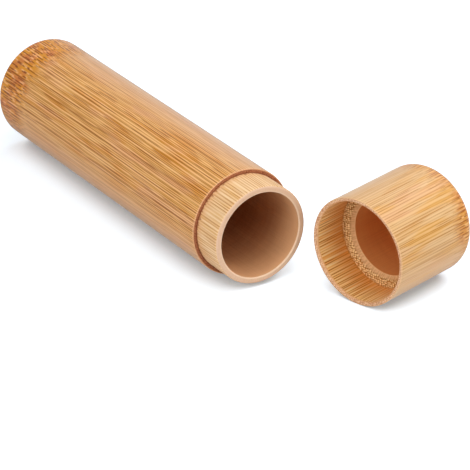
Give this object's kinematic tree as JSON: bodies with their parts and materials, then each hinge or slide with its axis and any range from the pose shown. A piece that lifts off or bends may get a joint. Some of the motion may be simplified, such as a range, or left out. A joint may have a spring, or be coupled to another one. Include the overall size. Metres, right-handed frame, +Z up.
{
  "type": "bamboo tea box",
  "caption": "Turned bamboo tea canister lying open: a closed tube with a stepped neck, and beside its mouth the pull-off cap with a socket and an end-grain ledge.",
  "frame": {"origin": "on the floor, below the middle of the box round the lying tube and its cap", "axes": "+X along the tube from its closed base to its mouth, +Z up, +Y towards the side on which the cap lies"},
  "size_m": [0.2326, 0.096, 0.046],
  "materials": {
    "tube_bamboo": "satin",
    "cap_bamboo": "satin"
  },
  "bodies": {
    "tube": {"tube": "tube_bamboo"},
    "cap": {"cap": "cap_bamboo"}
  },
  "joints": [
    {"name": "cap_swing", "type": "hinge", "parent": "tube", "child": "cap", "pos_m": [0.06925, -0.00101, 0.023], "axis": [0, 0, -1], "range_deg": [0, 105.4]}
  ]
}
